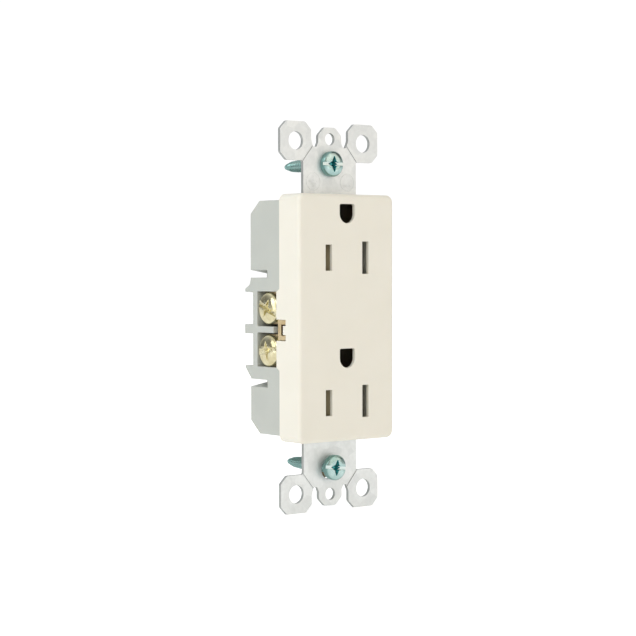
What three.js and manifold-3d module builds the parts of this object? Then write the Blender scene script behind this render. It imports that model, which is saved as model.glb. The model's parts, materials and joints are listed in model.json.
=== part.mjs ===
// A duplex wall outlet (two grounded 15 A receptacles on one strap), in millimetres.
// +X is right, +Y goes into the wall, +Z is up. The origin is the centre of the front face.
// The pieces are drawn with y = 0 on the strap's front, and one group moves them all to the origin.
// Hot side is -X (brass), neutral side is +X (nickel). Ground pins sit above the blade slots.

import * as THREE from "three";
import { mergeVertices } from "three/addons/utils/BufferGeometryUtils.js";
import Module from "manifold-3d";

const wasm = await Module();
wasm.setup();

// ---- Driving dimensions ---------------------------------------------------------------------

const ROUND = 20; // facets of a full circle
const SMALL_ROUND = 12; // and of a small one
const GAP = 0.1; // air between two pieces that meet

const STRAP = {
  thick: 1.0,
  halfWidth: 9.17, // the plate outside the housing
  shoulder: { x: 6.4, z: 46.2, from: 42.5 }, // the plate's corner where an ear breaks off
  // the gap between the tab and an ear, narrowest at its bottom
  throat: { z: 46.2, inner: 4.6, outer: 5.6, tabRise: 1.3, earRise: 1.9 },
  ear: { x: 11.66, z: 47.65, half: 5.25, cut: 2.1, hole: 2.45 },
  tab: { half: 4.0, top: 51.6, cut: 2.15, z: 48.42, hole: 1.65 }, // cover-plate screw hole
  slot: { z: 41.67, halfWidth: 3.1, halfHeight: 2.5 }, // mounting-screw slot
  score: { width: 0.35, depth: 0.3 },
  endFrom: 28.8,
  // the skeleton inside the housing, as [half width, low z, high z]
  skeleton: [
    [9.17, 24.8, 29],
    [4.6, 20.9, 25],
    [2.2, -29, 25],
    [4.6, -5.5, 9.9],
    [9.17, -14.2, -5],
    [4.6, -17.2, -14],
  ],
};

const OUTLETS = { upper: 16.2, lower: -22.76 }; // height of each pair of blade slots
const BLADE = { x: 6.35, slotHalf: 1.1, hot: 3.5, neutral: 4.4 }; // slot centre and half sizes
const GROUND = { rise: 11.85, radius: 2.6, rivet: 4.45 }; // pin above the slots, rivet from the pin

const FACE = {
  halfWidth: 16.4,
  halfHeight: 33.3,
  front: -7.5,
  back: 1.3,
  wall: 2.0, // at the sides
  panel: 1.0, // and in front
  corner: 1.8,
  edge: 0.8,
  skirt: { back: 2.6, low: -13.4, high: 7.1, slope: 1.6 }, // deeper beside the terminals
  notch: { front: -1.5, half: 2.85, pegBack: -0.3, pegHalf: 1.2 }, // bares the break-off fin
};

const BODY = {
  halfWidth: 15.8,
  halfHeight: 31.7,
  front: 1.4,
  back: 15.0,
  chamfer: { y: 4.1, z: 3.5 },
  wall: 2.0,
  floor: 13.2, // inside of the back wall
  shelf: 29.9, // inside of the top and bottom walls
  slit: { near: [10.8, -16.9], height: 2.1, inside: 1.1, from: 7.4, deep: 5.5 }, // near the middle, by z
  pinWell: { half: 3.4, floor: 14.1, wall: 1.0 }, // deeper behind each ground opening
};

const TERMINAL = {
  low: -13.4,
  high: 7.1,
  floor: 12.0, // inside of the recess's back wall
  stripBack: 14.0, // the back steps in beside the terminals
  inner: 9.6, // where the recess opens to the inside, by |x|
  plate: [11.5, 12.3], // thickness of the terminal plate, by |x|
  screwY: 7.6,
  screws: { upper: 2.5, lower: -9.0 },
  divider: {
    z: -3.25,
    thin: 0.85,
    thick: 1.25,
    front: 4.7,
    step: 11.8,
    back: 17.7,
    thinX: 12.9,
    thickX: 12.0,
  },
  sleeve: 0.8, // how far the terminal plate runs on into the housing
  guideX: 11.5,
  // wire guides at the two ends of the recess, as (y, z)
  upperGuide: [[13.9, 6.7], [17.6, 6.9], [17.6, 7.8], [15.6, 8.8], [14.9, 10.6], [13.9, 10.6]],
  lowerGuide: [[13.9, -13.2], [17.5, -13.3], [17.5, -13.9], [14.9, -16.7], [13.9, -16.7]],
  wireHole: { x: 12.9, off: 3.1, radius: 0.9 }, // a wire lies beside the screw's shank
};
// The break-off fin that joins a side's two terminal plates; arm and foot are distances from the divider.
const FIN = { y: [0.3, 3.7], reach: [14.2, 15.0], arm: [1.5, 2.7], foot: [1.4, 3.6], bite: [1.5, 2.0] };
const CONTACT = {
  sheet: 0.6,
  web: 11.0,
  half: 2.8,
  plateFront: 3.2,
  stripHalf: 1.7,
  landGap: 1.4,
  tongueInset: 1.0, // how much shorter the tongue to each terminal plate is, at both ends
};
// A blade clip's leaves: depths of the open end and of the narrowest place, and how far from the
// blade's middle a leaf is at each, at the open end for its inner and outer face.
const LEAF = { mouth: 2.6, pinch: 5.8, flare: [1.5, 2.0], grip: 0.8 };
const GROUND_CLIP = {
  half: 3.2,
  sheet: 0.5,
  squeeze: 0.25,
  bend: 4.0,
  pinch: 7.0,
  back: 11.0,
  pinHole: 2.55,
  open: 1.3,
  leaf: 2.2,
};
const RIVET = { hole: 1.2, shank: 1.1, head: 1.6, headThick: 0.7, clipThick: 0.7 };

const DRIVER = { half: 0.5, reach: 0.55, depth: 0.7, slotDepth: 0.42 }; // recess, as parts of the head
const SCREW = { head: 4.3, headThick: 1.85, shank: 2.05, length: 4.6, seat: 14.35, tip: 0.8 }; // 1 mm open
const CLAMP = { half: 3.7, thick: 0.7, gap: 0.05, play: 0.15 };
const GROUND_TERMINAL = {
  y: 5.9,
  z: 27.0,
  seat: 13.35,
  halfZ: 3.6,
  plate: [11.0, 12.27],
  back: 10.0,
  floor: 10.3,
  block: 7.4,
  inner: 8.6,
  low: 22.2,
  clampHalf: 3.5,
  blockLow: 20.4,
  top: 31.0,
};
const DOME = [[0.55, 0.06], [0.88, 0.35], [1, 0.8]]; // a head's top: part of its radius, fall in mm
const POINT = [[1, 1], [0.86, 0.55], [0.45, 0.15]]; // a shank's end: part of its radius, part of the tip
const HEX_SCREW = {
  flange: 3.8,
  hex: 3.4,
  thick: 2.6,
  flangeThick: 0.7,
  length: 3.8,
  chamfer: 0.5,
  slot: 1.0,
  lean: 0.35,
};
const MOUNT_SCREW = { head: 3.45, headThick: 2.0, shank: 1.7, length: 20.4, tip: 6.4 };
const MOUNT_SCREWS = {
  upper: { z: STRAP.slot.z, lift: 0 },
  lower: { z: -STRAP.slot.z + 0.67, lift: 1.0 }, // it hangs loose, off its slot's middle
};
const WASHER = { radius: 4.0, bore: 1.8, thick: 0.8, at: 5.6 };

const TRAY = {
  halfX: 9.8,
  endX: 8.7,
  halfZ: 5.6,
  railZ: 4.8,
  front: -6.4,
  floor: [-1.9, -0.9],
  back: -0.1,
  window: { x: [5.0, 7.7], half: 4.5 }, // a blade goes through here
};
const SHUTTER = { inner: 3.0, outer: 8.0, ramp: 4.9, front: -6.3, rampEnd: -2.9, back: -2.1, halfZ: 4.6 };
const SPRING = {
  y: -3.7,
  half: 4.55,
  radius: 1.0,
  wire: 0.17,
  turns: 6,
  stepsPerTurn: 9,
  wireFacets: 5,
  pocket: 1.3,
  pocketEnd: 4.75,
};
const INSULATOR = {
  from: 1.4,
  to: 2.2,
  halfWidth: 12.4,
  midHalfWidth: 11.1,
  halfHeight: 29.2,
  narrow: 9.4,
  ledge: { low: -20.7, high: 14.5 },
  blade: { x: 2.1, z: 4.4 }, // half size of each blade opening
  clipHalf: 3.4,
};
// The cover's four snap legs, and the ribs and rooms inside the rear body.
const LEG = {
  x: [12.75, 13.65],
  z: [17.6, -24.0],
  half: 2.3,
  tip: 7.0,
  toothFrom: 5.2,
  tooth: 0.7,
  play: 0.2,
};
const RIB = { x: [3.5, 4.3], back: 14.0 };
const ROOM = { middle: [-20.5, 14.5], upper: 14.4, chamfer: { y: 3.0, z: 2.5 } };
const SEAT_GAP = 0.05; // air under a seated screw head or clip
const BITE = 0.5; // how far a solid or a cut runs into the one it meets
const PAST = 1; // how far a cutting tool, or a hidden overlap, runs past its edge
const EVERYTHING = [-60, 60];

// ---- Shapes to solids -----------------------------------------------------------------------

// A three.js geometry as a closed manifold solid.
function solid(geometry) {
  const bare = geometry.index ? geometry.toNonIndexed() : geometry;
  bare.deleteAttribute("normal");
  bare.deleteAttribute("uv");
  const merged = mergeVertices(bare, 1e-4);
  const triVerts = new Uint32Array(merged.index.array);
  const vertProperties = merged.attributes.position.array;
  return new wasm.Manifold(new wasm.Mesh({ numProp: 3, vertProperties, triVerts }));
}

function union(...solids) {
  return solids.reduce((all, one) => all.add(one));
}

function cut(from, ...tools) {
  return tools.reduce((rest, tool) => rest.subtract(tool), from);
}

function box(x, y, z) {
  const size = [x, y, z].map(([a, b]) => Math.abs(b - a));
  const middle = [x, y, z].map(([a, b]) => (a + b) / 2);
  return solid(new THREE.BoxGeometry(...size).translate(...middle));
}

const extrusion = (depth) => ({ depth, bevelEnabled: false, curveSegments: ROUND / 4 });

// A shape drawn in (x, z), pushed through from y0 to y1.
function throughY(shape, y0, y1) {
  return solid(new THREE.ExtrudeGeometry(shape, extrusion(y1 - y0)).rotateX(Math.PI / 2).translate(0, y1, 0));
}

// A shape drawn in (y, z), pushed through from x0 to x1.
function throughX(shape, x0, x1) {
  const turn = new THREE.Matrix4().makeBasis(
    new THREE.Vector3(0, 1, 0),
    new THREE.Vector3(0, 0, 1),
    new THREE.Vector3(1, 0, 0),
  );
  return solid(new THREE.ExtrudeGeometry(shape, extrusion(x1 - x0)).applyMatrix4(turn).translate(x0, 0, 0));
}

// A shape drawn in (x, y), pushed through from z0 to z1.
function throughZ(shape, z0, z1) {
  return solid(new THREE.ExtrudeGeometry(shape, extrusion(z1 - z0)).translate(0, 0, z0));
}

const polygon = (points) => new THREE.Shape(points.map(([a, b]) => new THREE.Vector2(a, b)));

// The same polygon on the hot (-1) or neutral (+1) side, where points give |x| first.
const mirrored = (side, points) => polygon(points.map(([x, b]) => [side * x, b]));

// A range given by |x|, as an ordered range on one side.
const onSide = (side, [a, b]) => [side * a, side * b].sort((p, q) => p - q);

function octagon(x, z, half, corner) {
  const flat = half - corner;
  return polygon([
    [x - flat, z - half], [x + flat, z - half], [x + half, z - flat], [x + half, z + flat],
    [x + flat, z + half], [x - flat, z + half], [x - half, z + flat], [x - half, z - flat],
  ]);
}

function disc(a, b, radius) {
  return new THREE.Shape().absarc(a, b, radius, 0, 2 * Math.PI);
}

function roundedRectangle(halfX, halfZ, radius) {
  const [x, z] = [halfX - radius, halfZ - radius];
  return new THREE.Shape()
    .absarc(x, z, radius, 0, Math.PI / 2)
    .absarc(-x, z, radius, Math.PI / 2, Math.PI)
    .absarc(-x, -z, radius, Math.PI, 1.5 * Math.PI)
    .absarc(x, -z, radius, 1.5 * Math.PI, 2 * Math.PI);
}

// The ground opening: flat on top, round below.
function groundShape(z, radius) {
  return new THREE.Shape()
    .moveTo(radius, z + radius)
    .lineTo(-radius, z + radius)
    .lineTo(-radius, z)
    .absarc(0, z, radius, Math.PI, 2 * Math.PI);
}

// A profile of [radius, height] points turned about its axis, with height along +Y.
function turned(profile, facets = ROUND) {
  const points = profile.map(([r, h]) => new THREE.Vector2(r, h));
  return new THREE.LatheGeometry(points, facets);
}

// ---- Housing --------------------------------------------------------------------------------

function snapLeg(side, z) {
  const span = [z - LEG.half, z + LEG.half];
  const inner = FACE.halfWidth - FACE.wall;
  const tooth = mirrored(side, [
    [LEG.x[1] - GAP, LEG.toothFrom], [LEG.x[1] + LEG.tooth, LEG.toothFrom], [LEG.x[1] - GAP, LEG.tip],
  ]);
  return union(
    box(onSide(side, LEG.x), [FACE.front + FACE.panel / 2, LEG.tip], span),
    box(onSide(side, [LEG.x[0], inner + BITE]), [FACE.front + FACE.panel / 2, 0], span),
    throughZ(tooth, ...span),
  );
}

// The notch that bares the break-off fin, with the small peg that holds the fin's middle.
function finNotch(side) {
  const { z } = TERMINAL.divider;
  const { front, half, pegBack, pegHalf } = FACE.notch;
  const wall = onSide(side, [FACE.halfWidth - FACE.wall - GAP, FACE.halfWidth + PAST]);
  const notch = box(wall, [front, FACE.skirt.back + PAST], [z - half, z + half]);
  return notch.subtract(box(wall, [front - PAST, pegBack], [z - pegHalf, z + pegHalf]));
}

function faceCover() {
  const outline = roundedRectangle(FACE.halfWidth, FACE.halfHeight, FACE.corner);
  const block = new THREE.ExtrudeGeometry(outline, {
    depth: FACE.skirt.back - FACE.front,
    curveSegments: 4,
    bevelSegments: 3,
    bevelThickness: FACE.edge,
    bevelSize: FACE.edge,
    bevelOffset: -FACE.edge,
  });
  block.rotateX(-Math.PI / 2).translate(0, FACE.front + FACE.edge, 0);
  const { skirt } = FACE;
  const [low, high] = EVERYTHING;
  const skirtRegion = polygon([
    [0, skirt.low - skirt.slope], [skirt.back, skirt.low], [skirt.back, skirt.high],
    [0, skirt.high + skirt.slope], [0, high], [low, high], [low, low], [0, low],
  ]);
  const kept = union(box(EVERYTHING, [low, FACE.back], EVERYTHING), throughX(skirtRegion, ...EVERYTHING));
  const inside = [FACE.halfWidth - FACE.wall, FACE.halfHeight - FACE.wall];
  let cover = cut(
    solid(block).intersect(kept),
    box([-inside[0], inside[0]], [FACE.front + FACE.panel, high], [-inside[1], inside[1]]),
    ...[-1, 1].map(finNotch),
  );
  const exit = STRAP.halfWidth + 2 * GAP;
  const through = [FACE.front - PAST, FACE.front + FACE.panel + PAST];
  cover = cover.subtract(box([-exit, exit], [-GAP, FACE.back + PAST], EVERYTHING));
  for (const side of [-1, 1]) {
    const half = side < 0 ? BLADE.hot : BLADE.neutral;
    for (const z of Object.values(OUTLETS)) {
      const slot = onSide(side, [BLADE.x - BLADE.slotHalf, BLADE.x + BLADE.slotHalf]);
      cover = cover.subtract(box(slot, through, [z - half, z + half]));
    }
    for (const z of LEG.z) cover = cover.add(snapLeg(side, z));
  }
  for (const z of Object.values(OUTLETS)) {
    const opening = groundShape(z + GROUND.rise, GROUND.radius);
    cover = cover.subtract(throughY(opening, ...through));
  }
  return cover;
}

// A block whose back edges are chamfered at the top and bottom, from y = 0.
function chamferedBlock(halfX, back, halfZ, chamfer) {
  const [y, z] = [back - chamfer.y, halfZ - chamfer.z];
  const side = [[0, -halfZ], [y, -halfZ], [back, -z], [back, z], [y, halfZ], [0, halfZ]];
  return throughX(polygon(side), -halfX, halfX);
}

// The plain outside of the rear body, before its recesses.
function bodyBlock() {
  const block = chamferedBlock(BODY.halfWidth, BODY.back, BODY.halfHeight, BODY.chamfer);
  return block.intersect(box(EVERYTHING, [BODY.front, BODY.back], EVERYTHING));
}

// The back is left square in the middle of the top, where the upper ground pin ends.
function pinBoss() {
  const half = BODY.pinWell.half + BODY.pinWell.wall;
  const y = [BODY.back - BODY.chamfer.y, BODY.back];
  return box([-half, half], y, [BODY.halfHeight - 2 * BODY.chamfer.z, BODY.halfHeight]);
}

// Room behind each ground opening for the longest pin.
function pinWells() {
  const { half, floor, wall } = BODY.pinWell;
  return Object.values(OUTLETS).map((z) => {
    const pin = z + GROUND.rise;
    const top = Math.min(pin + half, BODY.halfHeight - wall);
    return box([-half, half], [0, floor], [pin - half, top]);
  });
}

// The recess, wire guides and divider around one side's two terminals.
function terminalRecess(side) {
  const { low, high, floor, stripBack, divider, inner, plate, guideX, wireHole, sleeve } = TERMINAL;
  const outside = BODY.halfWidth + PAST;
  const across = onSide(side, [guideX, BODY.halfWidth]);
  const { front, step, back, thin, thick, thinX, thickX } = divider;
  const span = (half) => [divider.z - half, divider.z + half];
  const holeZ = Object.values(TERMINAL.screws).flatMap((z) => [z - wireHole.off, z + wireHole.off]);
  return {
    cuts: [
      box(onSide(side, [inner, outside]), [0, floor], [low, high]),
      box(onSide(side, [guideX, outside]), [stripBack, BODY.back + PAST], [low, high]),
      box(onSide(side, [plate[0] - GAP, plate[1] + GAP]), [0, floor], [low - sleeve, high + sleeve]),
    ],
    adds: [
      throughX(polygon(TERMINAL.upperGuide), ...across),
      throughX(polygon(TERMINAL.lowerGuide), ...across),
      box(onSide(side, [thinX, BODY.halfWidth]), [front, floor + GAP], span(thin)),
      box(onSide(side, [thickX, BODY.halfWidth]), [step, back], span(thick)),
    ],
    wireHoles: holeZ.map((z) =>
      throughY(disc(side * wireHole.x, z, wireHole.radius), floor - PAST, BODY.back + PAST),
    ),
  };
}

// What catches a snap leg's tooth in the side wall.
function legCatch(side, z) {
  const wall = BODY.halfWidth - BODY.wall;
  const x = onSide(side, [wall - BITE, wall + LEG.tooth + LEG.play]);
  const y = [LEG.toothFrom - LEG.play, LEG.tip + 2 * LEG.play];
  return box(x, y, [z - LEG.half - LEG.play, z + LEG.half + LEG.play]);
}

// A slit in from the side, open at the back. Its far edge slants, so that it narrows inwards.
function sideSlit(side, near) {
  const { height, inside, from, deep } = BODY.slit;
  const far = (width) => near + Math.sign(near) * width;
  const inner = BODY.halfWidth - deep;
  const outer = BODY.halfWidth + PAST;
  const outline = [
    [outer, near], [inner, near], [inner, far(inside)], [BODY.halfWidth, far(height)], [outer, far(height)],
  ];
  return throughY(mirrored(side, outline), from, BODY.back + PAST);
}

// The inside: two ribs along the middle, and a block that takes the ground terminal.
function bodyInside() {
  const end = BODY.halfWidth - BODY.wall;
  const y = [INSULATOR.to + GAP, RIB.back];
  const ground = GROUND_TERMINAL;
  return union(
    ...[-1, 1].map((side) => box(onSide(side, RIB.x), y, [-BODY.shelf - PAST, BODY.shelf + PAST])),
    box([ground.block, end + PAST], y, [ground.blockLow, BODY.shelf + PAST]),
  );
}

function rearBody() {
  const end = BODY.halfWidth - BODY.wall;
  const ground = GROUND_TERMINAL;
  const outside = bodyBlock();
  const [low, high] = EVERYTHING;
  const rooms = union(
    box([-end, end], [0, high], [ROOM.upper, high]),
    box([-TERMINAL.inner, TERMINAL.inner], [0, high], ROOM.middle),
    box([-end, end], [0, high], [low, ROOM.middle[0]]),
  );
  const room = chamferedBlock(end, BODY.floor, BODY.shelf, ROOM.chamfer).intersect(rooms);
  const { x: wireX, off, radius } = TERMINAL.wireHole;
  let body = cut(
    union(outside.subtract(room), bodyInside().intersect(outside)),
    box([ground.inner, high], [0, ground.floor], [ground.low, ground.top]),
    throughY(disc(wireX, ground.z - off, radius), ground.floor - PAST, BODY.back + PAST),
  );
  body = cut(body.add(pinBoss()), ...pinWells());
  const { skirt } = FACE;
  // room for the cover's skirt, with the same slopes
  const play = 2 * GAP;
  const skirtRoom = polygon([
    [0, skirt.low - skirt.slope - play], [skirt.back + GAP, skirt.low - play],
    [skirt.back + GAP, skirt.high + play], [0, skirt.high + skirt.slope + play],
  ]);
  for (const side of [-1, 1]) {
    const lip = onSide(side, [FACE.halfWidth - FACE.wall - GAP, high]);
    body = body.subtract(throughX(skirtRoom, ...lip));
    const { cuts, adds, wireHoles } = terminalRecess(side);
    body = cut(union(cut(body, ...cuts), ...adds), ...wireHoles, ...LEG.z.map((z) => legCatch(side, z)));
    body = cut(body, ...BODY.slit.near.map((z) => sideSlit(side, z)));
  }
  return body;
}

function insulatorPlate() {
  const { from, to, halfWidth, midHalfWidth, halfHeight, narrow, ledge, clipHalf } = INSULATOR;
  const y = [from, to];
  const through = [from - PAST, to + PAST];
  const [, high] = EVERYTHING;
  const ground = GROUND_TERMINAL;
  let plate = union(
    box([-halfWidth, halfWidth], y, [ledge.high, halfHeight]),
    box([-narrow, narrow], y, [ledge.low - BITE, ledge.high + BITE]),
    box([-midHalfWidth, midHalfWidth], y, [TERMINAL.low + GAP, TERMINAL.high - GAP]),
    box([-halfWidth, halfWidth], y, [-halfHeight, ledge.low]),
  );
  plate = plate.subtract(box([ground.block - 2 * GAP, high], through, [ground.blockLow - 2 * GAP, high]));
  for (const z of Object.values(OUTLETS)) {
    for (const side of [-1, 1]) {
      const opening = onSide(side, [BLADE.x - INSULATOR.blade.x, BLADE.x + INSULATOR.blade.x]);
      plate = plate.subtract(box(opening, through, [z - INSULATOR.blade.z, z + INSULATOR.blade.z]));
    }
  }
  // openings for the ground clips and their rivets; the upper one runs out at the top
  const clip = [-clipHalf, clipHalf];
  const reach = GROUND.rivet + GROUND_CLIP.leaf;
  const [upper, lower] = Object.values(OUTLETS).map((z) => z + GROUND.rise);
  plate = plate.subtract(box(clip, through, [upper - reach, high]));
  return plate.subtract(box(clip, through, [lower - clipHalf, lower + reach]));
}

// ---- Strap and ground path ------------------------------------------------------------------

function strapEnd(end) {
  const { halfWidth, shoulder, throat, ear, tab, slot, thick, endFrom } = STRAP;
  const through = [-PAST, thick + PAST];
  const flip = (points) => polygon(points.map(([x, z]) => [x, end * z]));
  const plate = flip([
    [-halfWidth, endFrom], [halfWidth, endFrom],
    [halfWidth, shoulder.from], [shoulder.x, shoulder.z], [tab.half, throat.z],
    [-tab.half, throat.z], [-shoulder.x, shoulder.z], [-halfWidth, shoulder.from],
  ]);
  const small = flip([
    [throat.inner, throat.z - PAST],
    [throat.inner, throat.z], [tab.half, throat.z + throat.tabRise],
    [tab.half, tab.top - tab.cut], [tab.half - tab.cut, tab.top],
    [tab.cut - tab.half, tab.top], [-tab.half, tab.top - tab.cut],
    [-tab.half, throat.z + throat.tabRise], [-throat.inner, throat.z], [-throat.inner, throat.z - PAST],
  ]);
  const y = [0, thick];
  let piece = throughY(plate, ...y).add(throughY(small, ...y));
  for (const side of [-1, 1]) {
    const ring = octagon(side * ear.x, end * ear.z, ear.half, ear.cut);
    const earSide = ear.x - ear.half;
    const neck = flip([
      [side * throat.outer, throat.z], [side * earSide, throat.z + throat.earRise],
      [side * ear.x, ear.z], [side * ear.x, throat.z], [side * shoulder.x, throat.z - PAST],
    ]);
    piece = union(piece, throughY(ring, ...y), throughY(neck, ...y));
    piece = piece.subtract(throughY(disc(side * ear.x, end * ear.z, ear.hole), ...through));
    piece = piece.subtract(scoreLine(side, end));
  }
  const screwSlot = new THREE.Shape();
  const flat = slot.halfWidth - slot.halfHeight;
  screwSlot.absarc(flat, end * slot.z, slot.halfHeight, -Math.PI / 2, Math.PI / 2);
  screwSlot.absarc(-flat, end * slot.z, slot.halfHeight, Math.PI / 2, 1.5 * Math.PI);
  return cut(piece, throughY(screwSlot, ...through), throughY(disc(0, end * tab.z, tab.hole), ...through));
}

// The groove along which an ear breaks off.
function scoreLine(side, end) {
  const { shoulder, halfWidth, score } = STRAP;
  const [dx, dz] = [halfWidth - shoulder.x, shoulder.from - shoulder.z];
  const length = Math.hypot(dx, dz) + PAST;
  const groove = new THREE.BoxGeometry(length, 2 * score.depth, score.width);
  groove.rotateY(Math.atan2(-end * dz, side * dx));
  groove.translate((side * (halfWidth + shoulder.x)) / 2, 0, (end * (shoulder.from + shoulder.z)) / 2);
  return solid(groove);
}

function mountingStrap() {
  const { thick, halfWidth, skeleton } = STRAP;
  const y = [0, thick];
  const through = [-PAST, thick + PAST];
  const [upper, lower] = Object.values(OUTLETS).map((z) => z + GROUND.rise);
  const ground = GROUND_TERMINAL;
  const tabZ = [ground.z - ground.halfZ, ground.z + ground.halfZ];
  const strap = union(
    strapEnd(1),
    strapEnd(-1),
    ...skeleton.map(([half, low, high]) => box([-half, half], y, [low, high])),
    box([halfWidth - PAST, ground.plate[1]], y, tabZ),
    box(ground.plate, [0, ground.back], tabZ),
  );
  return cut(
    strap,
    ...[upper, lower].map((z) => throughY(disc(0, z, GROUND.radius + GAP), ...through)),
    ...[upper - GROUND.rivet, lower + GROUND.rivet].map((z) => throughY(disc(0, z, RIVET.hole), ...through)),
    throughX(disc(ground.y, ground.z, SCREW.shank + GAP), ground.plate[0] - PAST, ground.plate[1] + PAST),
  );
}

// A riveted clip whose two leaves grip a ground pin. It is open on the side away from its rivet.
function groundClip(z, rivetSide) {
  const { half, sheet, squeeze, bend, pinch, back, pinHole, open, leaf } = GROUND_CLIP;
  const base = [STRAP.thick + SEAT_GAP, STRAP.thick + SEAT_GAP + sheet + GAP];
  const profile = [
    [half, base[0]], [half, bend], [half - squeeze, pinch], [half, back],
    [half - sheet, back], [half - sheet - squeeze, pinch], [half - sheet, bend], [half - sheet, base[0]],
  ];
  const rivetZ = z + rivetSide * GROUND.rivet;
  const ordered = (...ends) => ends.sort((a, b) => a - b);
  const openEnd = z - rivetSide * open;
  const leafZ = ordered(openEnd, z + rivetSide * leaf);
  const through = [base[0] - PAST, base[1] + PAST];
  return cut(
    union(
      box([-half, half], base, ordered(openEnd, rivetZ + rivetSide * (RIVET.head + 4 * GAP))),
      ...[-1, 1].map((side) => throughZ(mirrored(side, profile), ...leafZ)),
    ),
    throughY(disc(0, z, pinHole), ...through),
    throughY(disc(0, rivetZ, RIVET.hole), ...through),
  );
}

function rivet(z) {
  const { shank, head, headThick, clipThick } = RIVET;
  const front = -headThick - SEAT_GAP;
  const seat = STRAP.thick + clipThick;
  const back = seat + headThick;
  const edge = 0.3; // how far the rounded heads fall away at their rims
  const profile = [
    [0, front], [head - edge, front], [head, front + edge], [head, -SEAT_GAP], [shank, -SEAT_GAP],
    [shank, seat], [head, seat], [head, back - edge], [head - edge, back], [0, back],
  ];
  return solid(turned(profile, SMALL_ROUND).translate(0, 0, z));
}

// ---- Live parts -----------------------------------------------------------------------------

// Two leaves that grip a blade, in (x, y): they flare at the mouth and meet the web at the back.
function bladeClip(side) {
  const { x } = BLADE;
  const { sheet, web, stripHalf } = CONTACT;
  const { mouth, pinch, flare, grip } = LEAF;
  const inner = [[x + flare[0], mouth], [x + grip, pinch], [x + stripHalf - sheet, web]];
  const outer = [[x + flare[1], mouth], [x + grip + sheet, pinch], [x + stripHalf, web + sheet]];
  const flip = ([a, b]) => [2 * x - a, b];
  const inside = [...inner, ...inner.toReversed().map(flip)];
  const outside = [...outer.map(flip), ...outer.toReversed()];
  return mirrored(side, [...inside, ...outside]);
}

// One stamping per side: two blade clips and two terminal plates, joined only by the break-off fin.
function contactBar(side) {
  const { x } = BLADE;
  const { sheet, web, half, plateFront, stripHalf, landGap, tongueInset } = CONTACT;
  const back = web + sheet;
  const [inner, outer] = TERMINAL.plate;
  const { low, high, sleeve, divider } = TERMINAL;
  const { z } = divider;
  const reach = sleeve - GAP; // each plate ends just inside its sleeve in the housing
  const lands = { upper: [z + landGap, high + reach], lower: [low - reach, z - landGap] };
  const solids = Object.entries(OUTLETS).flatMap(([name, clipZ]) => {
    const [from, to] = lands[name];
    const strip = [Math.min(from, clipZ - half), Math.max(to, clipZ + half)];
    return [
      throughZ(bladeClip(side), clipZ - half, clipZ + half),
      box(onSide(side, [x - stripHalf, x + stripHalf]), [web, back], strip),
      box(onSide(side, [x + stripHalf - GAP, outer]), [web, back], [from + tongueInset, to - tongueInset]),
      box(onSide(side, [inner, outer]), [plateFront, back], [from, to]),
    ];
  });
  const armX = onSide(side, [outer - GAP, FIN.reach[1]]);
  for (const up of [-1, 1]) {
    const along = (range) => range.map((d) => z + up * d).sort((p, q) => p - q);
    solids.push(box(onSide(side, [inner, outer]), FIN.y, along(FIN.foot)), box(armX, FIN.y, along(FIN.arm)));
  }
  solids.push(box(onSide(side, FIN.reach), FIN.y, [z - FIN.arm[1], z + FIN.arm[1]]));
  const holes = Object.values(TERMINAL.screws).map((screwZ) =>
    throughX(disc(TERMINAL.screwY, screwZ, SCREW.shank + GAP), ...onSide(side, [inner - PAST, outer + PAST])),
  );
  // a bite out of the fin's front edge gives it its bracket shape
  const [biteHalf, biteDepth] = FIN.bite;
  const biteX = onSide(side, [FIN.reach[0] - PAST, FIN.reach[1] + PAST]);
  const bite = box(biteX, [FIN.y[0] - PAST, FIN.y[0] + biteDepth], [z - biteHalf, z + biteHalf]);
  return cut(union(...solids), ...holes, bite);
}

// A square plate that a screw head presses on the wire. The seat is the head's underside, by |x|.
function clampPlate(side, seat, y, z, half) {
  const outer = seat - CLAMP.gap;
  const x = onSide(side, [outer - CLAMP.thick, outer]);
  const plate = box(x, [y - half, y + half], [z - half, z + half]);
  return plate.subtract(throughX(disc(y, z, SCREW.shank + CLAMP.play), x[0] - PAST, x[1] + PAST));
}

// The straight slot and cross driver recess, cut into a head whose top is at y = top.
function driverRecess(head, thick) {
  const { half, reach, depth, slotDepth } = DRIVER;
  const top = -thick;
  const y = [top - PAST, top + depth * thick];
  const arm = [-head * reach, head * reach];
  return [
    box([-head - PAST, head + PAST], [top - PAST, top + slotDepth * thick], [-half, half]),
    box([-half, half], y, arm),
    box(arm, y, [-half, half]),
  ];
}

// A binding-head screw standing along +Y, its head's underside at y = 0.
function bindingScrew({ head, headThick, shank, length, tip }) {
  const top = -headThick;
  const profile = [
    [0, top],
    ...DOME.map(([part, fall]) => [head * part, top + fall]),
    [head, 0],
    [shank, 0],
    ...POINT.map(([part, left]) => [shank * part, length - tip * left]),
    [0, length],
  ];
  return cut(solid(turned(profile)), ...driverRecess(head, headThick));
}

// A slotted hexagon-head screw with a flange, standing like bindingScrew.
function hexScrew() {
  const { flange, hex, thick, flangeThick, length, chamfer, slot } = HEX_SCREW;
  const { shank } = SCREW;
  const profile = [
    [0, -thick], [hex, -thick], [hex, -flangeThick - GAP], [flange, -flangeThick], [flange, 0],
    [shank, 0], [shank, length - chamfer], [shank - chamfer, length], [0, length],
  ];
  const corners = Array.from({ length: 6 }, (_, corner) => (corner * Math.PI) / 3);
  const hexagon = polygon(corners.map((angle) => [hex * Math.cos(angle), hex * Math.sin(angle)]));
  const below = box(EVERYTHING, [-flangeThick - GAP, length], EVERYTHING);
  const kept = union(throughY(hexagon, -thick - PAST, -flangeThick + GAP), below);
  const groove = box(EVERYTHING, [-thick - PAST, -thick + slot], [-DRIVER.half, DRIVER.half]);
  return solid(turned(profile)).intersect(kept).subtract(groove);
}

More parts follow.
